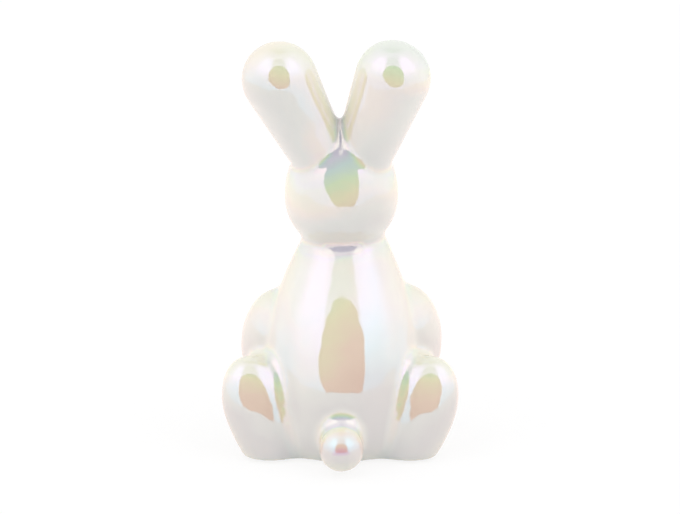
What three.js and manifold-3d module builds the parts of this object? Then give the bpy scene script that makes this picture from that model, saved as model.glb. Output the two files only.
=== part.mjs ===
// Seated bunny figurine in pearl-glazed earthenware, about 180 mm tall.
// Nine hollow castings (torso, head, two ears, two forelegs, two hind legs and tail) are joined
// while the clay is damp: a casting keeps the collar of its pouring neck, the collar goes through a
// hole in its neighbour's wall, and a bead of casting slip seals the seam outside.
// Four felt pads under the feet carry the figure.
// Millimetres, +Z up. The face looks along +Y and the tail points along -Y.
import * as THREE from "three";
import { mergeVertices } from "three/addons/utils/BufferGeometryUtils.js";
import Module from "manifold-3d";

const wasm = await Module();
wasm.setup();

// Clay walls, seams and collars
const wall = 3;
const seamGap = 0.3;
const beadReach = 1.4;
const collarRadius = 5;
const collarBore = 3;
const collarLength = 4.5;

// Torso: a pear that leans towards the face, and a touch to the right, as it rises
const padThickness = 1;
const footprintRadius = 28.5;
const bellyRadius = 33.8;
const bellyHeight = 27;
const neckRadius = 17.3;
const neckHeight = 92;
const neckSlope = 0.52;
const torsoDepthShare = 0.97;
const neckForward = 15.6;
const neckSideways = 1.2;
const leanPower = 1.5;
const footRounding = 0.8;
const bellyFlare = 0.45;
const shoulderFlare = 0.4;
const crownFlare = 0.6;
const drainHoleRadius = 4.5;

// Head and face: the head is a ball with a taller crown, which the ears cover, and a flatter back
const headRadius = 24.9;
const headDepthShare = 0.9;
const headCrownShare = 1.3;
const headSetback = 3;
const muzzleRadius = 8.6;
const muzzleProud = 3.6;
const muzzleRise = 10.9;
const noseRadius = 2.4;
const noseProud = 1;
const noseLift = 25;
const eyeRadius = 2.4;
const eyeProud = 1;
const eyeSpacing = 21;
const eyeRise = 4.5;

// Ears: round pods that widen towards their tips, with a shallow scoop in front
const earTipRadius = 16.3;
const earTaper = 6;
const earBackLean = 5;
const earSetback = 3;
const earWall = 4.5;
const earScoopDepth = 1.6;
const earScoopWidth = 15;
const earScoopLength = 28;
const earScoopHeight = 43;
const leftEarTilt = 26.9;
const leftEarReach = 59.4;
const leftEarOffset = 0.4;
const rightEarTilt = 19.8;
const rightEarReach = 56.9;
const rightEarOffset = 2.6;

// Forelegs: long ovals on the flanks, paws forward and a little apart, the right one a little higher
const forelegRadii = new THREE.Vector3(15, 23, 27.2);
const forelegCentre = new THREE.Vector3(27.4, 13.9, 40.7);
const forelegTilt = 25;
const forelegSplay = 30;
const rightForelegRise = 2.2;

// Hind legs: a haunch with a flat back, which leans out and ahead at the top, turns towards the tail
// and stands on a broad sole, and a foot, in one casting
const haunchRadii = new THREE.Vector3(15.6, 10.2, 23.4);
const haunchCentre = new THREE.Vector3(35.3, -17, 22);
const haunchTilt = 18;
const haunchLean = 10;
const haunchTurn = 11;
const haunchLowerShare = 1.5;
const haunchAheadShare = 2.9;
const rightHindLegInset = 1.3;
const footRadii = new THREE.Vector3(13, 21.5, 11.8);
const footCentre = new THREE.Vector3(30.5, 19.5, 11);

// Tail: a bulb with a blunt point
const tailRootRadius = 7;
const tailBulbRadius = 9.8;
const tailTipRadius = 4;
const tailBulbReach = 7;
const tailTipReach = 12.9;
const tailHeight = 11.5;

// Felt pads, in the middle of each sole
const padRadius = 5;
const padSpots = {
  front: new THREE.Vector3(30.5, 19.5, 0),
  rear: new THREE.Vector3(32.5, -16, 0),
};

// Facets round each form
const torsoFacets = 28;
const headFacets = 26;
const earFacets = 24;
const limbFacets = 22;
const tailFacets = 18;
const faceFacets = 12;
const eyeFacets = 8;
const scoopFacets = 12;
const hollowFacets = 12;
const rodFacets = 12;
const padFacets = 20;

// A distance larger than the figure
const beyond = 300;

const rad = THREE.MathUtils.degToRad;

// A geometry with its shared points merged, so that it closes, and without the flat triangles that
// this leaves at a pole.
function welded(geometry) {
  const bare = geometry.clone();
  bare.deleteAttribute("normal");
  bare.deleteAttribute("uv");
  const merged = mergeVertices(bare, 1e-4);
  const corners = merged.index.array;
  const kept = [];
  for (let i = 0; i < corners.length; i += 3) {
    const [a, b, c] = corners.slice(i, i + 3);
    if (a !== b && b !== c && c !== a) kept.push(a, b, c);
  }
  merged.setIndex(kept);
  return merged;
}

// The same skin moved out along its normals, or in where the distance is below zero.
function grown(geometry, distance) {
  const skin = welded(geometry);
  skin.computeVertexNormals();
  const { position, normal } = skin.attributes;
  for (let i = 0; i < position.count; i++) {
    position.setXYZ(
      i,
      position.getX(i) + normal.getX(i) * distance,
      position.getY(i) + normal.getY(i) * distance,
      position.getZ(i) + normal.getZ(i) * distance,
    );
  }
  return skin;
}

function solid(geometry) {
  const skin = welded(geometry);
  return new wasm.Manifold(
    new wasm.Mesh({
      numProp: 3,
      vertProperties: new Float32Array(skin.attributes.position.array),
      triVerts: new Uint32Array(skin.index.array),
    }),
  );
}

function geometryOf(manifold) {
  const mesh = manifold.getMesh();
  const geometry = new THREE.BufferGeometry();
  geometry.setAttribute("position", new THREE.BufferAttribute(mesh.vertProperties, 3));
  geometry.setIndex(new THREE.BufferAttribute(mesh.triVerts, 1));
  geometry.computeVertexNormals();
  return geometry;
}

const joined = (solids) => solids.reduce((a, b) => a.add(b));
const largestOf = (manifold) => manifold.decompose().reduce((a, b) => (b.volume() > a.volume() ? b : a));

// An ellipsoid, turned about its middle. Its lower half and the half ahead of its middle can be
// lengthened, each by its own share.
function ellipsoid(radii, centre, around, turn = new THREE.Matrix4(), lower = 1, ahead = 1) {
  const geometry = new THREE.SphereGeometry(1, around, Math.round(around * 0.6)).rotateX(Math.PI / 2);
  const { position } = geometry.attributes;
  for (let i = 0; i < position.count; i++) {
    if (position.getY(i) > 0) position.setY(i, position.getY(i) * ahead);
    if (position.getZ(i) < 0) position.setZ(i, position.getZ(i) * lower);
  }
  return geometry
    .scale(radii.x, radii.y, radii.z)
    .applyMatrix4(turn)
    .translate(centre.x, centre.y, centre.z);
}

const sphere = (radius, centre, around) =>
  ellipsoid(new THREE.Vector3(radius, radius, radius), centre, around);

// The head's skin, or its hollow with an inset.
function headShell(inset, around) {
  const radius = headRadius - inset;
  const crown = headRadius * headCrownShare - inset;
  const radii = new THREE.Vector3(radius, headRadius * headDepthShare - inset, crown);
  return ellipsoid(radii, headCentre, around, undefined, radius / crown);
}

// A cylinder from one point to another.
function rod(from, to, radius, around = rodFacets) {
  const axis = new THREE.Vector3().subVectors(to, from);
  const turn = new THREE.Quaternion().setFromUnitVectors(
    new THREE.Vector3(0, 1, 0),
    axis.clone().normalize(),
  );
  const middle = new THREE.Vector3().addVectors(from, to).multiplyScalar(0.5);
  return new THREE.CylinderGeometry(radius, radius, axis.length(), around)
    .applyQuaternion(turn)
    .translate(middle.x, middle.y, middle.z);
}

// A round pod along +Z over a chain of balls, each given by its radius and its height, with straight
// flanks that touch each ball and the next.
function pod(balls, around, arcSteps) {
  const leans = balls.slice(1).map(({ radius, height }, i) =>
    Math.asin((radius - balls[i].radius) / (height - balls[i].height)),
  );
  const outline = new THREE.Path();
  balls.forEach(({ radius, height }, i) => {
    const start = i === 0 ? -Math.PI / 2 : -leans[i - 1];
    const end = i === leans.length ? Math.PI / 2 : -leans[i];
    outline.absarc(0, height, radius, start, end, false);
  });
  const profile = outline.getPoints(arcSteps);
  profile[0].x = 0;
  profile[profile.length - 1].x = 0;
  return new THREE.LatheGeometry(profile, around).rotateX(Math.PI / 2);
}

// The torso's middle at a height.
function torsoMiddle(height) {
  const share = (height - bellyHeight) / (neckHeight - bellyHeight);
  const lean = Math.max(share, 0) ** leanPower;
  return new THREE.Vector3(neckSideways * lean, neckForward * lean, height);
}

function torsoSkin(around, steps) {
  const floor = padThickness;
  const flare = bellyFlare * (bellyHeight - floor);
  const shoulder = shoulderFlare * (neckHeight - bellyHeight);
  const crown = neckHeight + neckRadius;
  const outline = new THREE.Path();
  outline.moveTo(0, floor);
  outline.lineTo(footprintRadius, floor);
  outline.bezierCurveTo(
    footprintRadius + footRounding * (bellyRadius - footprintRadius), floor,
    bellyRadius, bellyHeight - flare,
    bellyRadius, bellyHeight,
  );
  outline.bezierCurveTo(
    bellyRadius, bellyHeight + shoulder,
    neckRadius + neckSlope * shoulder, neckHeight - shoulder,
    neckRadius, neckHeight,
  );
  outline.bezierCurveTo(
    neckRadius * (1 - neckSlope * crownFlare), neckHeight + crownFlare * neckRadius,
    (1 - crownFlare) * neckRadius, crown,
    0, crown,
  );
  const profile = outline.getPoints(steps);
  profile[profile.length - 1].x = 0;
  const geometry = new THREE.LatheGeometry(profile, around).rotateX(Math.PI / 2);
  const { position } = geometry.attributes;
  for (let i = 0; i < position.count; i++) {
    const middle = torsoMiddle(position.getZ(i));
    position.setX(i, position.getX(i) + middle.x);
    position.setY(i, position.getY(i) * torsoDepthShare + middle.y);
  }
  return geometry;
}

// Where the head sits on the neck
const headDrop = Math.sqrt(headRadius ** 2 - neckRadius ** 2 - headSetback ** 2);
const headCentre = new THREE.Vector3(0, neckForward - headSetback, neckHeight + headDrop);
const neckCentre = torsoMiddle(neckHeight);

// The ears, seen from behind
const ears = {
  left: { side: -1, tilt: leftEarTilt, reach: leftEarReach, offset: leftEarOffset },
  right: { side: 1, tilt: rightEarTilt, reach: rightEarReach, offset: rightEarOffset },
};
for (const ear of Object.values(ears)) {
  ear.rootRadius = earTipRadius - ear.reach * Math.sin(rad(earTaper));
  ear.root = new THREE.Vector3(ear.offset, -earSetback, 0).add(headCentre);
  ear.axis = new THREE.Vector3(
    ear.side * Math.sin(rad(ear.tilt)),
    -Math.sin(rad(earBackLean)),
    Math.cos(rad(ear.tilt)),
  ).normalize();
  const turn = new THREE.Quaternion().setFromUnitVectors(new THREE.Vector3(0, 0, 1), ear.axis);
  ear.place = new THREE.Matrix4().compose(ear.root, turn, new THREE.Vector3(1, 1, 1));
}

function earPod(ear, inset, around, arcSteps) {
  const balls = [
    { radius: ear.rootRadius - inset, height: 0 },
    { radius: earTipRadius - inset, height: ear.reach },
  ];
  return pod(balls, around, arcSteps).applyMatrix4(ear.place);
}

// The tail points straight back from the rump.
const rump = new THREE.Vector3(0, -bellyRadius * torsoDepthShare, tailHeight);
const back = new THREE.Vector3(0, -1, 0);

function tailPod(inset, around, arcSteps) {
  const balls = [
    { radius: tailRootRadius - inset, height: 0 },
    { radius: tailBulbRadius - inset, height: tailBulbReach },
    { radius: tailTipRadius - inset, height: tailTipReach },
  ];
  return pod(balls, around, arcSteps).rotateX(Math.PI / 2).translate(rump.x, rump.y, rump.z);
}

const onSide = (side, point) => new THREE.Vector3(side * point.x, point.y, point.z);

function forelegMiddle(side) {
  const middle = onSide(side, forelegCentre);
  if (side > 0) middle.z += rightForelegRise;
  return middle;
}

function foreleg(side, inset, around) {
  const tilt = new THREE.Matrix4().makeRotationX(rad(forelegTilt));
  const turn = new THREE.Matrix4().makeRotationZ(-side * rad(forelegSplay)).multiply(tilt);
  return ellipsoid(forelegRadii.clone().subScalar(inset), forelegMiddle(side), around, turn);
}

function hindLegPoint(side, point) {
  const placed = onSide(side, point);
  if (side > 0) placed.x -= rightHindLegInset;
  return placed;
}

function hindLeg(side, inset, around) {
  const lean = new THREE.Matrix4().makeRotationX(-rad(haunchLean));
  const tilt = new THREE.Matrix4().makeRotationY(side * rad(haunchTilt)).multiply(lean);
  const turn = new THREE.Matrix4().makeRotationZ(-side * rad(haunchTurn)).multiply(tilt);
  const haunch = haunchRadii.clone().subScalar(inset);
  const foot = footRadii.clone().subScalar(inset);
  return [
    ellipsoid(
      haunch,
      hindLegPoint(side, haunchCentre),
      around,
      turn,
      haunchLowerShare,
      haunchAheadShare,
    ),
    ellipsoid(foot, hindLegPoint(side, footCentre), around),
  ];
}

// Each casting's outer skin before its seams are cut, and the hollow inside its wall
const skins = {
  torso: [torsoSkin(torsoFacets, 4)],
  head: [headShell(0, headFacets)],
  tail: [tailPod(0, tailFacets, 4)],
};
const hollows = {
  torso: [grown(torsoSkin(hollowFacets, 3), -wall)],
  head: [headShell(wall, hollowFacets)],
  tail: [tailPod(wall, hollowFacets, 2)],
};
for (const [name, ear] of Object.entries(ears)) {
  skins["ear_" + name] = [earPod(ear, 0, earFacets, 6)];
  hollows["ear_" + name] = [earPod(ear, earWall, hollowFacets, 3)];
  skins["foreleg_" + name] = [foreleg(ear.side, 0, limbFacets)];
  hollows["foreleg_" + name] = [foreleg(ear.side, wall, hollowFacets)];
  skins["hind_leg_" + name] = hindLeg(ear.side, 0, limbFacets);
  hollows["hind_leg_" + name] = hindLeg(ear.side, wall, hollowFacets);
}

const skinSolid = (name, distance = 0) => joined(skins[name].map((skin) => solid(grown(skin, distance))));

// A box larger than the figure, with its middle at a point.
const largeBox = (x, z) => solid(new THREE.BoxGeometry(2 * beyond, 2 * beyond, 2 * beyond).translate(x, 0, z));

// All that lies below a height, such as the pads' upper faces.
const below = (height) => largeBox(0, height - beyond);

// All that lies past the plane between the ears, for the ear on one side.
const pastMiddle = (side, distance) => largeBox(side * (distance - beyond), 0);

// A casting's outer form and the hollow in it, both cut back from the neighbours that it sits on.
function casting(name, neighbours) {
  let outer = skinSolid(name).subtract(below(padThickness));
  let inner = joined(hollows[name].map(solid)).subtract(below(padThickness + wall));
  for (const neighbour of neighbours) {
    outer = outer.subtract(skinSolid(neighbour, seamGap));
    inner = inner.subtract(skinSolid(neighbour, seamGap + wall));
  }
  return { outer: largestOf(outer), inner: largestOf(inner) };
}

// The point of a skin that a line from inside it meets.
function seatOn(skin, from, direction) {
  const mesh = new THREE.Mesh(skin, new THREE.MeshBasicMaterial({ side: THREE.DoubleSide }));
  return new THREE.Raycaster(from, direction).intersectObject(mesh).at(-1).point;
}

// A joint: one casting's collar goes through a hole in another casting's wall. The seat is the point
// of that wall's skin on the collar's axis, and the axis points out of the wall.
function collarJoint(seat, axis) {
  const at = (distance) => seat.clone().addScaledVector(axis, distance);
  return {
    collar: solid(rod(at(-collarLength), at(seamGap + wall / 2), collarRadius)),
    bore: solid(rod(at(-collarLength - 1), at(seamGap + 2 * wall), collarBore)),
    hole: solid(rod(at(-collarLength - 1), at(seamGap + wall / 2), collarRadius + seamGap)),
  };
}

function limbJoint(centre) {
  const middle = torsoMiddle(centre.z);
  const axis = new THREE.Vector3().subVectors(centre, middle).normalize();
  return collarJoint(seatOn(skins.torso[0], middle, axis), axis);
}

const neckAxis = new THREE.Vector3().subVectors(headCentre, neckCentre).normalize();
const neckSeat = headCentre.clone().addScaledVector(neckAxis, -headRadius - seamGap);
const tailMiddle = new THREE.Vector3(0, 0, tailHeight);
const joints = {
  head: collarJoint(neckSeat, neckAxis),
  tail: collarJoint(seatOn(skins.torso[0], tailMiddle, back), back),
};
for (const [name, ear] of Object.entries(ears)) {
  joints["ear_" + name] = collarJoint(seatOn(skins.head[0], ear.root, ear.axis), ear.axis);
  joints["foreleg_" + name] = limbJoint(forelegMiddle(ear.side));
  joints["hind_leg_" + name] = limbJoint(hindLegPoint(ear.side, haunchCentre));
}

// A casting with its wall, its own collar, and the holes for the collars that it receives.
function finished(name, { outer, inner }, received = []) {
  let shape = outer.subtract(inner);
  if (joints[name]) shape = shape.add(joints[name].collar).subtract(joints[name].bore);
  for (const other of received) shape = shape.subtract(joints[other].hole);
  return shape;
}

// The bead of slip in the crease between a casting and the castings that it sits on. It keeps clear
// of them, and of anything in the way.
function bead(name, seats, inTheWay = []) {
  const reach = joined(seats.map((seat) => skinSolid(seat, beadReach)));
  let ring = skinSolid(name, beadReach).intersect(reach).subtract(below(padThickness));
  for (const touched of [name, ...seats]) ring = ring.subtract(skinSolid(touched, seamGap));
  for (const shape of inTheWay) ring = ring.subtract(shape);
  return ring;
}

// The muzzle keeps its height over the neck, so that the bead under the head runs on below it. It may
// dip into the top of the torso's front, which is cut clear of it.
const muzzleForward = headCentre.y + headRadius * headDepthShare + muzzleProud - muzzleRadius;
const muzzleCentre = new THREE.Vector3(headCentre.x, muzzleForward, neckHeight + muzzleRise);
const muzzle = (distance) => solid(sphere(muzzleRadius + distance, muzzleCentre, faceFacets));

// The face: a low muzzle, a nose on it, and two raised eyes
function withFace(outer) {
  const noseWay = new THREE.Vector3(0, Math.cos(rad(noseLift)), Math.sin(rad(noseLift)));
  const noseCentre = muzzleCentre.clone().addScaledVector(noseWay, muzzleRadius + noseProud - noseRadius);
  const ballForward = Math.sqrt(headRadius ** 2 - (eyeSpacing / 2) ** 2 - eyeRise ** 2);
  const eyes = [-1, 1].map((side) => {
    const seat = new THREE.Vector3((side * eyeSpacing) / 2, ballForward * headDepthShare, eyeRise);
    return seat.setLength(seat.length() + eyeProud - eyeRadius).add(headCentre);
  });
  return joined([
    outer,
    muzzle(0),
    solid(sphere(noseRadius, noseCentre, eyeFacets)),
    ...eyes.map((eye) => solid(sphere(eyeRadius, eye, eyeFacets))),
  ]);
}

// The shallow scoop in the front of an ear, along its flank.
function earScoop(ear) {
  const thickness = earScoopWidth / 2;
  const flank = (ear.rootRadius + earScoopHeight * Math.sin(rad(earTaper))) / Math.cos(rad(earTaper));
  const radii = new THREE.Vector3(earScoopWidth / 2, thickness, earScoopLength / 2);
  const centre = new THREE.Vector3(0, flank + thickness - earScoopDepth, earScoopHeight);
  const alongFlank = new THREE.Matrix4().makeRotationX(-rad(earTaper));
  return solid(ellipsoid(radii, centre, scoopFacets, alongFlank).applyMatrix4(ear.place));
}

const materials = {
  glaze: new THREE.MeshStandardMaterial({ color: 0xece7e2, roughness: 0.12, metalness: 0 }),
  slip: new THREE.MeshStandardMaterial({ color: 0xe6e1da, roughness: 0.2, metalness: 0 }),
  felt: new THREE.MeshStandardMaterial({ color: 0xd8d2c6, roughness: 1, metalness: 0 }),
};

const figure = new THREE.Group();
figure.name = "bunny_figurine";

function addNode(name, shape, material) {
  const mesh = new THREE.Mesh(geometryOf(largestOf(shape)), material);
  mesh.name = name;
  figure.add(mesh);
}

const limbs = ["foreleg_left", "foreleg_right", "hind_leg_left", "hind_leg_right", "tail"];
const drainTop = new THREE.Vector3(0, 0, padThickness + 2 * wall);
const drainHole = rod(new THREE.Vector3(), drainTop, drainHoleRadius);
const torso = finished("torso", casting("torso", ["head"]), ["head", ...limbs])
  .subtract(muzzle(seamGap))
  .subtract(solid(drainHole));
addNode("torso", torso, materials.glaze);

const head = casting("head", []);
head.outer = withFace(head.outer);
addNode("head", finished("head", head, ["ear_left", "ear_right"]), materials.glaze);
addNode("neck_bead", bead("head", ["torso"], [muzzle(seamGap)]), materials.slip);

addNode("tail", finished("tail", casting("tail", ["torso"])), materials.glaze);
addNode("tail_bead", bead("tail", ["torso"]), materials.slip);

for (const [name, ear] of Object.entries(ears)) {
  const earShape = casting("ear_" + name, ["head"]);
  earShape.outer = earShape.outer.subtract(pastMiddle(ear.side, seamGap / 2)).subtract(earScoop(ear));
  earShape.inner = earShape.inner.subtract(pastMiddle(ear.side, seamGap / 2 + wall));
  addNode("ear_" + name, finished("ear_" + name, earShape), materials.glaze);
  addNode(
    `ear_${name}_bead`,
    bead("ear_" + name, ["head"], [pastMiddle(ear.side, seamGap / 2)]),
    materials.slip,
  );

  const fore = "foreleg_" + name;
  const hind = "hind_leg_" + name;
  addNode(hind, finished(hind, casting(hind, ["torso"])), materials.glaze);
  addNode(fore, finished(fore, casting(fore, ["torso", hind])), materials.glaze);
  addNode(fore + "_bead", bead(fore, ["torso", hind]), materials.slip);
  addNode(hind + "_bead", bead(hind, ["torso"], [skinSolid(fore, beadReach + seamGap)]), materials.slip);

  for (const [place, spot] of Object.entries(padSpots)) {
    const under = hindLegPoint(ear.side, spot);
    const top = under.clone().setZ(padThickness);
    addNode(`felt_pad_${place}_${name}`, solid(rod(under, top, padRadius, padFacets)), materials.felt);
  }
}

// The origin is under the middle of the figure, on the surface that it stands on.
const extent = new THREE.Box3().setFromObject(figure);
const middle = extent.getCenter(new THREE.Vector3());
for (const mesh of figure.children) mesh.geometry.translate(-middle.x, -middle.y, -extent.min.z);

export default figure;
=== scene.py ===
import math

import bpy
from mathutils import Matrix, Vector
from mathutils.geometry import interpolate_bezier


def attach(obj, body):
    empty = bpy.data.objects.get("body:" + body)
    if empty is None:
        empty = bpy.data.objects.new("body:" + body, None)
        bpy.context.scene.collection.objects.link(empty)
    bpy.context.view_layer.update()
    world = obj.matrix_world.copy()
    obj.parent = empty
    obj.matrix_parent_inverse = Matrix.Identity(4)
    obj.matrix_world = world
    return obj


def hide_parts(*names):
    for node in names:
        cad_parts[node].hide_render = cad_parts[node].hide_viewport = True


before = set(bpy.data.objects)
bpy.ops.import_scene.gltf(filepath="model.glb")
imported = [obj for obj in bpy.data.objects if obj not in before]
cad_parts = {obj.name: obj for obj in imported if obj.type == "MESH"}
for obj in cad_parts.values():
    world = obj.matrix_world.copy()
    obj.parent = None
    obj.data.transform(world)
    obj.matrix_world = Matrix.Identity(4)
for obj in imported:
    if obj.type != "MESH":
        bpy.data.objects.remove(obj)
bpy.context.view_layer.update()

# Torso: a hollow casting in white clay, a pear that leans towards the face as it rises.
# The mould's seam was sponged away while the clay was damp, so it is one smooth sweep.
mm = 0.001
figure_middle = Vector((0.65, 4.53, 0)) * mm
clay_floor = 1 * mm
footprint_radius = 28.5 * mm
belly_radius = 33.8 * mm
belly_height = 27 * mm
neck_radius = 17.3 * mm
neck_height = 92 * mm
neck_slope = 0.52
torso_depth_share = 0.97
neck_lean = Vector((1.2, 15.6, 0)) * mm
facets_round = 96
rings_per_sweep = 14


def torso_middle(height):
    """The middle of the torso's section at a height."""
    share = max(0, (height - belly_height) / (neck_height - belly_height))
    return figure_middle + neck_lean * share ** 1.5 + Vector((0, 0, height))


def start_form():
    """Leaves nothing selected, so that the next operators act on the new form alone."""
    if bpy.context.object:
        bpy.ops.object.mode_set(mode="OBJECT")
    bpy.ops.object.select_all(action="DESELECT")


def end_form(name):
    """Gives the new form outward faces, and moves its place and turn into its mesh."""
    form = bpy.context.object
    bpy.ops.object.mode_set(mode="EDIT")
    bpy.ops.mesh.select_all(action="SELECT")
    bpy.ops.mesh.normals_make_consistent(inside=False)
    bpy.ops.object.mode_set(mode="OBJECT")
    bpy.ops.object.transform_apply(location=True, rotation=True, scale=True)
    form.name = name
    return form


foot_roundness = 0.8
foot_radius = footprint_radius + foot_roundness * (belly_radius - footprint_radius)
flare = 0.45 * (belly_height - clay_floor)
shoulder = 0.4 * (neck_height - belly_height)
cap_shoulder = 0.6 * neck_radius
cap_width = 0.4 * neck_radius
cap_tip = 0.2 * mm
cap_height = neck_height + neck_radius
torso_sweeps = [
    [
        (footprint_radius, clay_floor),
        (foot_radius, clay_floor),
        (belly_radius, belly_height - flare),
        (belly_radius, belly_height),
    ],
    [
        (belly_radius, belly_height),
        (belly_radius, belly_height + shoulder),
        (neck_radius + neck_slope * shoulder, neck_height - shoulder),
        (neck_radius, neck_height),
    ],
    [
        (neck_radius, neck_height),
        (neck_radius - neck_slope * cap_shoulder, neck_height + cap_shoulder),
        (cap_width, cap_height),
        (cap_tip, cap_height),
    ],
]
torso_rings = []
for sweep in torso_sweeps:
    handles = [Vector((radius, 0, height)) for radius, height in sweep]
    points = interpolate_bezier(*handles, rings_per_sweep)
    torso_rings += [(point.x, torso_middle(point.z)) for point in points[1 if torso_rings else 0:]]

start_form()
last_radius, last_middle = torso_rings[0]
bpy.ops.mesh.primitive_circle_add(
    vertices=facets_round, radius=last_radius, fill_type="NGON", location=last_middle
)
bpy.ops.object.mode_set(mode="EDIT")
bpy.ops.transform.resize(value=(1, torso_depth_share, 1), center_override=last_middle)
for radius, middle in torso_rings[1:]:
    bpy.ops.mesh.extrude_region_move(TRANSFORM_OT_translate={"value": middle - last_middle})
    share = radius / last_radius
    bpy.ops.transform.resize(value=(share, share, 1), center_override=middle)
    last_radius, last_middle = radius, middle
torso = end_form("torso_form")

# Head: a round casting, taller under the ears and a little flat behind and in front.
# The photo doesn't show the face, so its low muzzle, small nose and raised eyes are plain forms.
head_radius = 24.9 * mm
head_setback = 3 * mm
head_depth_share = 0.9
head_crown_share = 1.3
head_drop = math.sqrt(head_radius ** 2 - neck_radius ** 2 - head_setback ** 2)
head_middle = figure_middle + Vector((0, neck_lean.y - head_setback, neck_height + head_drop))


def choose_points(form, wanted):
    """Selects the points that pass a test, in edit mode."""
    bpy.ops.mesh.select_all(action="DESELECT")
    bpy.ops.object.mode_set(mode="OBJECT")
    for point in form.data.vertices:
        point.select = wanted(point.co)
    bpy.ops.object.mode_set(mode="EDIT")


def place(form, turn, location):
    """Turns a form about the origin and moves it, in its mesh."""
    start_form()
    form.select_set(True)
    bpy.context.view_layer.objects.active = form
    form.rotation_euler = turn
    form.location = location
    bpy.ops.object.transform_apply(location=True, rotation=True, scale=True)


def ball(name, middle, radius, segments=facets_round):
    """A round form about a middle."""
    start_form()
    bpy.ops.mesh.primitive_uv_sphere_add(
        segments=segments, ring_count=segments // 2, radius=radius, location=middle
    )
    return end_form(name)


head = ball("head_form", Vector(), head_radius)
bpy.ops.object.mode_set(mode="EDIT")
bpy.ops.mesh.select_mode(type="VERT")
choose_points(head, lambda point: point.z > 0)
bpy.ops.transform.resize(value=(1, 1, head_crown_share), center_override=(0, 0, 0))
bpy.ops.mesh.select_all(action="SELECT")
bpy.ops.transform.resize(value=(1, head_depth_share, 1), center_override=(0, 0, 0))
bpy.ops.object.mode_set(mode="OBJECT")
place(head, (0, 0, 0), head_middle)

muzzle_radius = 8.6 * mm
muzzle_sunk = 5 * mm
muzzle_rise = 10.9 * mm
muzzle_forward = head_middle.y + head_radius * head_depth_share - muzzle_sunk
muzzle_middle = Vector((head_middle.x, muzzle_forward, neck_height + muzzle_rise))
muzzle = ball("muzzle_form", muzzle_middle, muzzle_radius, segments=48)

bead_radius = 2.4 * mm
bead_sunk = 0.8 * mm
nose_lift = math.radians(25)
eye_spread = 10.5 * mm
eye_forward = 22.1 * mm
eye_rise = 4.5 * mm
nose_way = Vector((0, math.cos(nose_lift), math.sin(nose_lift)))
nose_middle = muzzle_middle + nose_way * (muzzle_radius - bead_sunk)
face = [ball("nose_form", nose_middle, bead_radius, segments=32)]
for side in (-1, 1):
    eye_seat = Vector((side * eye_spread, eye_forward * head_depth_share, eye_rise))
    eye_seat.length -= bead_sunk
    face.append(ball("eye_form", head_middle + eye_seat, bead_radius, segments=32))

# Ears and tail: round pods, each cast over a chain of balls that straight flanks join.
# The ears widen towards their tips and have a shallow scoop in front. The tail ends in a blunt point.


def choose_faces(form, wanted):
    """Selects the faces whose middle passes a test, in edit mode."""
    bpy.ops.mesh.select_all(action="DESELECT")
    bpy.ops.object.mode_set(mode="OBJECT")
    for polygon in form.data.polygons:
        polygon.select = wanted(polygon.center)
    bpy.ops.object.mode_set(mode="EDIT")


def finish_with(piece, kind, **settings):
    """Adds a modifier with its settings and applies it."""
    start_form()
    piece.select_set(True)
    bpy.context.view_layer.objects.active = piece
    modifier = piece.modifiers.new(kind.lower(), kind)
    for name, value in settings.items():
        setattr(modifier, name, value)
    bpy.ops.object.modifier_apply(modifier=modifier.name)


def pod(name, balls):
    """A pod that stands on the origin, each ball a radius and a height, the tip's first."""
    radius, height = balls[0]
    start_form()
    bpy.ops.mesh.primitive_uv_sphere_add(segments=facets_round, ring_count=60, radius=radius)
    form = bpy.context.object
    bpy.ops.object.mode_set(mode="EDIT")
    bpy.ops.mesh.select_mode(type="FACE")
    bpy.ops.transform.translate(value=(0, 0, height))
    for next_radius, next_height in balls[1:]:
        share = next_radius / radius
        flank_start = height + radius * (next_radius - radius) / (height - next_height)
        choose_faces(form, lambda middle: middle.z < flank_start)
        bpy.ops.mesh.extrude_region_move(
            TRANSFORM_OT_translate={"value": (0, 0, next_height - height)}
        )
        bpy.ops.transform.resize(value=(share, share, share), center_override=(0, 0, next_height))
        radius, height = next_radius, next_height
    return end_form(name)


def cut_away(form, tool):
    """Cuts a tool's shape out of a form, and removes the tool."""
    finish_with(form, "BOOLEAN", operation="DIFFERENCE", object=tool, solver="EXACT")
    bpy.data.objects.remove(tool)


ear_tip_radius = 16.3 * mm
scoop_width = 15 * mm
scoop_length = 28 * mm
scoop_depth = 1.6 * mm
scoop_height = 43 * mm
ear_taper = math.radians(6)
ear_setback = 3 * mm
ear_lean_back = math.radians(5)
ear_set = {
    "left": {"tilt": -26.9, "reach": 59.4 * mm, "offset": 0.4 * mm},
    "right": {"tilt": 19.8, "reach": 56.9 * mm, "offset": 2.6 * mm},
}
ears = []
for side, ear in ear_set.items():
    root = head_middle + Vector((ear["offset"], -ear_setback, 0))
    tilt = math.radians(ear["tilt"])
    axis = Vector((math.sin(tilt), -math.sin(ear_lean_back), math.cos(tilt))).normalized()
    root_radius = ear_tip_radius - ear["reach"] * math.sin(ear_taper)
    form = pod(f"ear_{side}_form", [(ear_tip_radius, ear["reach"]), (root_radius, 0)])
    flank = (root_radius + scoop_height * math.sin(ear_taper)) / math.cos(ear_taper)
    scoop_middle = Vector((0, flank + scoop_width / 2 - scoop_depth, scoop_height))
    scoop = ball("scoop_form", Vector(), scoop_width / 2, segments=48)
    scoop.scale.z = scoop_length / scoop_width
    place(scoop, (-ear_taper, 0, 0), scoop_middle)
    cut_away(form, scoop)
    place(form, Vector((0, 0, 1)).rotation_difference(axis).to_euler(), root)
    ears.append(form)

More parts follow.
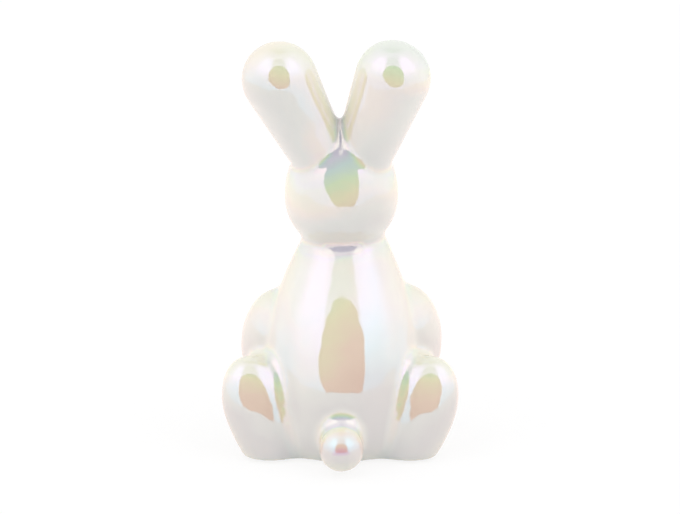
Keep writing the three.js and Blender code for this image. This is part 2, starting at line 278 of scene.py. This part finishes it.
tail_height = 11.5 * mm
tail_tip = (3.4 * mm, 13.5 * mm)
tail_bulb = (9.8 * mm, 7 * mm)
tail_foot = (7 * mm, 0)
tail = pod("tail_form", [tail_tip, tail_bulb, tail_foot])
tail_root = figure_middle + Vector((0, -belly_radius * torso_depth_share, tail_height))
place(tail, (math.radians(90), 0, 0), tail_root)

# Forelegs and hind legs: ovals cast with their paws, the right side a little unlike the left.
# A haunch is longer ahead and below its middle, where it runs down to a broad sole.


def oval(name, radii, middle, turn=(0, 0, 0), lower=1, ahead=1):
    """An ellipsoid whose lower half and the half ahead of its middle can be lengthened."""
    start_form()
    bpy.ops.mesh.primitive_uv_sphere_add(segments=facets_round, ring_count=facets_round // 2, radius=1)
    form = bpy.context.object
    bpy.ops.object.mode_set(mode="EDIT")
    bpy.ops.mesh.select_mode(type="FACE")
    for wanted, stretch in (
        (lambda point: point.z < 0, (1, 1, lower)),
        (lambda point: point.y > 0, (1, ahead, 1)),
    ):
        choose_faces(form, wanted)
        bpy.ops.transform.resize(value=stretch, center_override=(0, 0, 0))
    bpy.ops.object.mode_set(mode="OBJECT")
    form.scale = radii
    form.rotation_euler = turn
    form.location = middle
    return end_form(name)


foreleg_radii = Vector((15, 23, 27.2)) * mm
foreleg_place = Vector((27.4, 13.9, 40.7)) * mm
foreleg_tilt = math.radians(25)
foreleg_splay = math.radians(30)
right_foreleg_rise = 2.2 * mm
haunch_radii = Vector((15.6, 10.2, 23.4)) * mm
haunch_place = Vector((35.3, -17, 22)) * mm
haunch_lean = math.radians(10)
haunch_tilt = math.radians(18)
haunch_turn = math.radians(11)
haunch_lower_share = 1.5
haunch_ahead_share = 2.9
foot_radii = Vector((13, 21.5, 11.8)) * mm
foot_place = Vector((30.5, 19.5, 11)) * mm
right_hind_inset = 1.3 * mm
legs = []
for side, foreleg_rise, hind_inset in ((-1, 0, 0), (1, right_foreleg_rise, right_hind_inset)):
    mirror = Vector((side, 1, 1))
    upward = Vector((0, 0, foreleg_rise))
    inward = Vector((-side * hind_inset, 0, 0))
    foreleg = oval(
        "foreleg_form",
        foreleg_radii,
        figure_middle + foreleg_place * mirror + upward,
        turn=(foreleg_tilt, 0, -side * foreleg_splay),
    )
    haunch = oval(
        "haunch_form",
        haunch_radii,
        figure_middle + haunch_place * mirror + inward,
        turn=(-haunch_lean, side * haunch_tilt, -side * haunch_turn),
        lower=haunch_lower_share,
        ahead=haunch_ahead_share,
    )
    foot = oval("foot_form", foot_radii, figure_middle + foot_place * mirror + inward)
    legs += [foreleg, haunch, foot]

# Joining: the castings are luted together while damp, the creases between them filled with slip and
# sponged round, and the underside cut flat. Where the skin turns inwards, the lustre pools later on.
skin_step = 0.9 * mm
limb_fillet = 1.8 * mm
neck_fillet = 0.9 * mm
ear_fillet = 0.8 * mm
sponge_reach = 22 * mm
sponge_depth = 0.5 * mm


def fuse(forms, round_by):
    """Joins forms into one skin, its creases filled to a radius as a ball would leave them."""
    start_form()
    for form in forms:
        form.select_set(True)
    bpy.context.view_layer.objects.active = forms[0]
    bpy.ops.object.join()
    finish_with(forms[0], "REMESH", mode="VOXEL", voxel_size=skin_step, adaptivity=0)
    for growth in (round_by, -round_by):
        finish_with(forms[0], "DISPLACE", direction="NORMAL", mid_level=0, strength=growth)
        finish_with(forms[0], "REMESH", mode="VOXEL", voxel_size=skin_step, adaptivity=0)
    finish_with(forms[0], "SMOOTH", factor=0.5, iterations=2)


fuse([torso, tail, *legs], limb_fillet)
fuse([torso, head, muzzle], neck_fillet)
fuse([torso, *ears, *face], ear_fillet)
glazed_body = torso
glazed_body.name = "glazed_body"
bpy.ops.object.mode_set(mode="EDIT")
bpy.ops.mesh.select_all(action="SELECT")
bpy.ops.mesh.bisect(
    plane_co=(0, 0, clay_floor), plane_no=(0, 0, 1), clear_inner=True, use_fill=True
)
bpy.ops.object.mode_set(mode="OBJECT")
finish_with(glazed_body, "REMESH", mode="VOXEL", voxel_size=skin_step, adaptivity=0)
finish_with(glazed_body, "SMOOTH", factor=0.5, iterations=8)
sponge_marks = bpy.data.textures.new("sponge_marks", "CLOUDS")
sponge_marks.noise_scale = sponge_reach
finish_with(
    glazed_body,
    "DISPLACE",
    texture=sponge_marks,
    texture_coords="LOCAL",
    strength=sponge_depth,
    mid_level=0.5,
)
bpy.ops.object.shade_smooth()
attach(glazed_body, "root")
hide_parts(*[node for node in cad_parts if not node.startswith("felt_pad")])

# Pearl glaze: a white body under a thin metallic lustre that was sprayed on from above and fired last.
# Where it lies thin the body looks peach, then yellow, green and violet as it gets thicker, and what it
# throws back has the opposite colour. It lies thicker on what faces up, and pools in the creases.
pool_radius = 8 * mm


def pooled(piece, spread):
    """How deep each point lies in a crease, from 0 to 1, evened out over its neighbours."""
    skin = piece.data
    points = [point.co for point in skin.vertices]
    ways = [point.normal for point in skin.vertices]
    edges = [tuple(edge.vertices) for edge in skin.edges]
    shares = [0.0] * len(points)
    edge_counts = [0] * len(points)
    for first, second in edges:
        step = points[second] - points[first]
        inward_bend = -(ways[second] - ways[first]).dot(step) / step.length_squared
        for point in (first, second):
            shares[point] += min(max(inward_bend * pool_radius, 0), 1)
            edge_counts[point] += 1
    shares = [share / count for share, count in zip(shares, edge_counts)]
    for _ in range(spread):
        sums = [0.0] * len(points)
        for first, second in edges:
            sums[first] += shares[second]
            sums[second] += shares[first]
        shares = [total / count for total, count in zip(sums, edge_counts)]
    return shares


crease = glazed_body.data.attributes.new("crease", "FLOAT", "POINT")
crease.data.foreach_set("value", pooled(glazed_body, 2))


class Value:
    """A number or colour socket of a shader that takes Python's arithmetic."""

    def __init__(self, shader, socket):
        self.shader = shader
        self.socket = socket

    def __add__(self, other):
        return self.shader.math("ADD", self, other)

    __radd__ = __add__

    def __sub__(self, other):
        return self.shader.math("SUBTRACT", self, other)

    def __rsub__(self, other):
        return self.shader.math("SUBTRACT", other, self)

    def __mul__(self, other):
        return self.shader.math("MULTIPLY", self, other)

    __rmul__ = __mul__

    def __truediv__(self, other):
        return self.shader.math("DIVIDE", self, other)

    def __pow__(self, other):
        return self.shader.math("POWER", self, other)

    def __abs__(self):
        return self.shader.math("ABSOLUTE", self)


class Shader:
    """The nodes of a material or of the world."""

    def __init__(self, owner):
        owner.use_nodes = True
        self.tree = owner.node_tree
        self.tree.nodes.clear()

    def node(self, kind, settings=None, sockets=None):
        made = self.tree.nodes.new(kind)
        for name, value in (settings or {}).items():
            if name == "stops":
                ramp = made.color_ramp
                while len(ramp.elements) < len(value):
                    ramp.elements.new(0.5)
                for element, (position, colour) in zip(ramp.elements, value):
                    element.position = position
                    element.color = (*colour, 1)
            else:
                setattr(made, name, value)
        for name, value in (sockets or {}).items():
            if isinstance(value, Value):
                self.tree.links.new(value.socket, made.inputs[name])
            else:
                made.inputs[name].default_value = value
        return made

    def value(self, kind, output=0, settings=None, sockets=None):
        return Value(self, self.node(kind, settings, sockets).outputs[output])

    def math(self, operation, first, second=0.0):
        sockets = {0: first, 1: second}
        return self.value("ShaderNodeMath", settings={"operation": operation}, sockets=sockets)

    def between(self, value, low, high):
        """0 where a value is at or under low, 1 where it is at or over high, eased between."""
        return self.value(
            "ShaderNodeMapRange",
            settings={"interpolation_type": "SMOOTHSTEP"},
            sockets={"Value": value, "From Min": low, "From Max": high},
        )

    def within(self, value, rise, fall):
        """1 between an eased rise and an eased fall, each with its start and its end, 0 beyond them."""
        return self.between(value, *rise) * (1.0 - self.between(value, *fall))

    def near(self, value, inner, outer):
        """1 where a value is at most the inner distance from 0, 0 at or past the outer one."""
        return 1.0 - self.between(abs(value), inner, outer)

    def blend(self, share, first, second):
        """The first colour where the share is 0, the second where it is 1."""
        made = self.node("ShaderNodeMix", {"data_type": "RGBA"}, {0: share})
        for socket, colour in ((made.inputs[6], first), (made.inputs[7], second)):
            if isinstance(colour, Value):
                self.tree.links.new(colour.socket, socket)
            else:
                socket.default_value = (*colour, 1)
        return Value(self, made.outputs[2])


def linear(*colour):
    """A colour written as 0 to 255 screen values, as the shader counts light."""
    return tuple(
        channel / 255 / 12.92 if channel / 255 <= 0.04045 else ((channel / 255 + 0.055) / 1.055) ** 2.4
        for channel in colour
    )


pearl = bpy.data.materials.new("pearl_glaze")
shader = Shader(pearl)
texture_place = shader.node("ShaderNodeTexCoord")
spot = Value(shader, texture_place.outputs["Object"])
facing = Value(shader, texture_place.outputs["Normal"])
spot_axes = shader.node("ShaderNodeSeparateXYZ", sockets={0: spot})
facing_axes = shader.node("ShaderNodeSeparateXYZ", sockets={0: facing})
across, along, height = (Value(shader, spot_axes.outputs[axis]) for axis in range(3))
facing_up = Value(shader, facing_axes.outputs[2])
upper_side = shader.between(facing_up, -0.8, 0.0)

# Where on the figure
ear_start = (132 * mm, 150 * mm)
round_neck = shader.within(height, (80 * mm, 88 * mm), (100 * mm, 110 * mm))
on_nape = round_neck * shader.near(across - 1.3 * mm, 6 * mm, 10 * mm)
on_head = shader.within(height, (82 * mm, 94 * mm), ear_start)
on_crown = shader.between(height, 115 * mm, 130 * mm)
on_ears = shader.between(height, *ear_start)
on_tail = 1.0 - shader.between(along, -42 * mm, -36 * mm)
on_tail_tip = (1.0 - shader.between(along, -44.6 * mm, -43.4 * mm)) * shader.between(facing_up, 0.0, 0.15)
above_tail = shader.within(height, (17 * mm, 20 * mm), (26 * mm, 34 * mm)) * shader.near(
    across, 6 * mm, 10 * mm
)
down_the_back = shader.near(across, 15 * mm, 23 * mm) * (1.0 - on_ears)
inside_haunches = shader.near(across, 29 * mm, 35 * mm)

# How thick the lustre lies
in_crease = shader.value("ShaderNodeAttribute", output="Fac", settings={"attribute_name": "crease"})
pooling = on_nape * 1.4 - round_neck * 0.4 - on_crown * 0.2 + above_tail * 0.5 + 0.55
pools = in_crease * upper_side * inside_haunches * pooling
flat_share = shader.math("MINIMUM", shader.math("MAXIMUM", facing_up, facing_up * 0.35), 0.55)
settled = flat_share * (on_head * 0.25 - on_ears * 0.45 + 0.9)
sprayed_from_left = shader.between(across, 20 * mm, -20 * mm) - 0.5
sprayed = (
    on_head * 0.36
    + on_ears * (across / (220 * mm) + 0.35)
    - on_tail * 0.3
    + down_the_back * sprayed_from_left * 0.25
)
mottling = shader.value("ShaderNodeTexNoise", sockets={"Vector": spot, "Scale": 45.0, "Detail": 2.0})
thickness = settled + sprayed * upper_side + pools + (mottling - 0.5) * 0.3

# What the body and the lustre look like at each thickness
coated_tint = shader.value(
    "ShaderNodeValToRGB",
    settings={
        "stops": [
            (0.0, linear(242, 210, 193)),
            (0.25, linear(250, 224, 203)),
            (0.45, linear(246, 240, 202)),
            (0.62, linear(225, 242, 203)),
            (0.82, linear(210, 230, 225)),
            (1.0, linear(214, 210, 224)),
        ]
    },
    sockets={0: thickness},
)
low_tint = linear(249, 223, 195)
high_tint = linear(255, 230, 212)
rose_tint = linear(236, 182, 190)
bare_tint = shader.blend(shader.between(height, 50 * mm, 110 * mm), low_tint, high_tint)
upper_tint = shader.blend(on_tail_tip, coated_tint, rose_tint)
body_tint = shader.blend(upper_side, bare_tint, upper_tint)


def lustre(thrown_back):
    """The glazed body under a lustre that throws back one colour."""
    sockets = {
        "Base Color": body_tint,
        "Roughness": 0.05,
        "IOR": 3.0,
        "Specular Tint": (*thrown_back, 1),
    }
    return Value(shader, shader.node("ShaderNodeBsdfPrincipled", sockets=sockets).outputs[0])


sky, violet, magenta, pink, straw = (
    (0.14, 0.7, 1.0),
    (0.47, 0.46, 1.0),
    (0.82, 0.44, 1.0),
    (1.0, 0.6, 0.65),
    (0.85, 0.8, 0.58),
)
surface = lustre(sky)
for thinner, thicker, thrown_back in (
    (0.2, 0.45, violet),
    (0.45, 0.65, magenta),
    (0.65, 0.82, pink),
    (0.86, 1.0, straw),
):
    thickened = shader.between(thickness, thinner, thicker)
    sockets = {0: thickened, 1: surface, 2: lustre(thrown_back)}
    surface = shader.value("ShaderNodeMixShader", sockets=sockets)
shader.node("ShaderNodeOutputMaterial", sockets={"Surface": surface})
glazed_body.data.materials.clear()
glazed_body.data.materials.append(pearl)

# Felt pads: thin discs of pale wool felt under the soles, glued on after the glaze firing.
# They stay as the frame has them, under a felt of short, matted fibres.
felt = bpy.data.materials.new("felt_pad")
shader = Shader(felt)
felt_spot = shader.value("ShaderNodeTexCoord", "Object")
fibres = shader.value("ShaderNodeTexNoise", sockets={"Vector": felt_spot, "Scale": 1500.0, "Detail": 6.0})
wool_tint = shader.blend(fibres, linear(196, 188, 172), linear(232, 226, 212))
matted = shader.value(
    "ShaderNodeBsdfPrincipled", sockets={"Base Color": wool_tint, "Roughness": 0.95}
)
shader.node("ShaderNodeOutputMaterial", sockets={"Surface": matted})
for name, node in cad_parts.items():
    if name.startswith("felt_pad"):
        node.data.materials.clear()
        node.data.materials.append(felt)

# Table top: a plain pale sheet that ends between the figure and the camera.
# The camera sees it as white, with the figure's shadow, and the glaze mirrors it a little warmer.
sheet_width = 2.0
sheet_length = 1.7
sheet_near_edge = -0.4
start_form()
bpy.ops.mesh.primitive_plane_add(size=1, location=(0, sheet_near_edge + sheet_length / 2, 0))
floor = bpy.context.object
floor.name = "floor"
floor.scale = (sheet_width, sheet_length, 1)
bpy.ops.object.transform_apply(location=True, rotation=True, scale=True)
paper = bpy.data.materials.new("floor_paper")
shader = Shader(paper)
shaded = shader.value("ShaderNodeBsdfDiffuse", sockets={"Color": (0.9, 0.9, 0.9, 1)})
mirrored = shader.value("ShaderNodeLightPath", "Is Glossy Ray")
looked_at = shader.value("ShaderNodeLightPath", "Is Camera Ray") + mirrored
sheet_tint = shader.blend(mirrored, (1, 1, 1), (1, 0.82, 0.77))
white = shader.value(
    "ShaderNodeEmission", sockets={"Color": sheet_tint, "Strength": mirrored * 0.36 + 1.0}
)
seen_sheet = shader.value(
    "ShaderNodeMixShader", sockets={0: looked_at * 0.85, 1: shaded, 2: white}
)
shader.node("ShaderNodeOutputMaterial", sockets={"Surface": seen_sheet})
floor.data.materials.append(paper)

# Light: a white tent with a softbox on each side, dimmer overhead and at its far end, and open
# towards the camera. The opening shows in the glaze as sharp-edged patches of the body's own tint.
studio = bpy.data.worlds.new("studio")
bpy.context.scene.world = studio
shader = Shader(studio)
way = shader.value("ShaderNodeTexCoord", "Generated")
way_axes = shader.node("ShaderNodeSeparateXYZ", sockets={0: way})
way_x, way_y, way_z = (Value(shader, way_axes.outputs[axis]) for axis in range(3))
degree = math.radians(1)
rightwards = shader.math("ARCTAN2", way_x, way_y * -1.0)
sideways = abs(rightwards)
upwards = shader.math("ARCSINE", way_z)

gap_half_width = 34 * degree
gap_half_height = 34.5 * degree
gap_middle = 17 * degree
gap_squareness = 2.4
gap_slant = 5 * degree
slant = (1.0 - shader.between(upwards, -12 * degree, 14 * degree)) * gap_slant
across_gap = (abs(rightwards - slant) / (gap_half_width - slant)) ** gap_squareness
up_gap = (abs(upwards - gap_middle) / gap_half_height) ** gap_squareness
in_gap = 1.0 - shader.between(across_gap + up_gap, 0.93, 1.07)

beside_gap = shader.within(sideways, (30 * degree, 36 * degree), (70 * degree, 102 * degree))
softbox_height = shader.within(upwards, (0.0, 38 * degree), (56 * degree, 80 * degree))
in_softbox = beside_gap * softbox_height
over_gap = shader.within(upwards, (44 * degree, 56 * degree), (66 * degree, 80 * degree))
in_shade = over_gap * shader.near(rightwards, 30 * degree, 60 * degree)
overhead = shader.between(upwards, 52 * degree, 76 * degree)
at_far_end = shader.between(sideways, 100 * degree, 150 * degree)
tent_level = 1.4 + in_softbox * 0.7 - in_shade * 0.34 - overhead * 0.22 - at_far_end * 0.42
level = tent_level * (1.0 - in_gap * 0.94)

seen = shader.value("ShaderNodeBackground", sockets={"Color": (1, 1, 1, 1), "Strength": 1.0})
tent = shader.value("ShaderNodeBackground", sockets={"Color": (1, 1, 1, 1), "Strength": level})
by_camera = shader.value("ShaderNodeLightPath", "Is Camera Ray")
surroundings = shader.value("ShaderNodeMixShader", sockets={0: by_camera, 1: tent, 2: seen})
shader.node("ShaderNodeOutputWorld", sockets={"Surface": surroundings})

# Camera: straight behind the figure and a little above it, as in the photo.
camera_distance = 1.0
elevation = math.radians(16)
aim = Vector((0, figure_middle.y, 85.1 * mm))
view_width = 294.44 * mm
sensor_width = 36
backwards = Vector((0, -math.cos(elevation), math.sin(elevation)))
start_form()
bpy.ops.object.camera_add(
    location=aim + backwards * camera_distance, rotation=(math.pi / 2 - elevation, 0, 0)
)
camera = bpy.context.object
camera.data.sensor_width = sensor_width
camera.data.lens = sensor_width * camera_distance / view_width
bpy.context.scene.camera = camera
bpy.context.scene.view_settings.view_transform = "Standard"
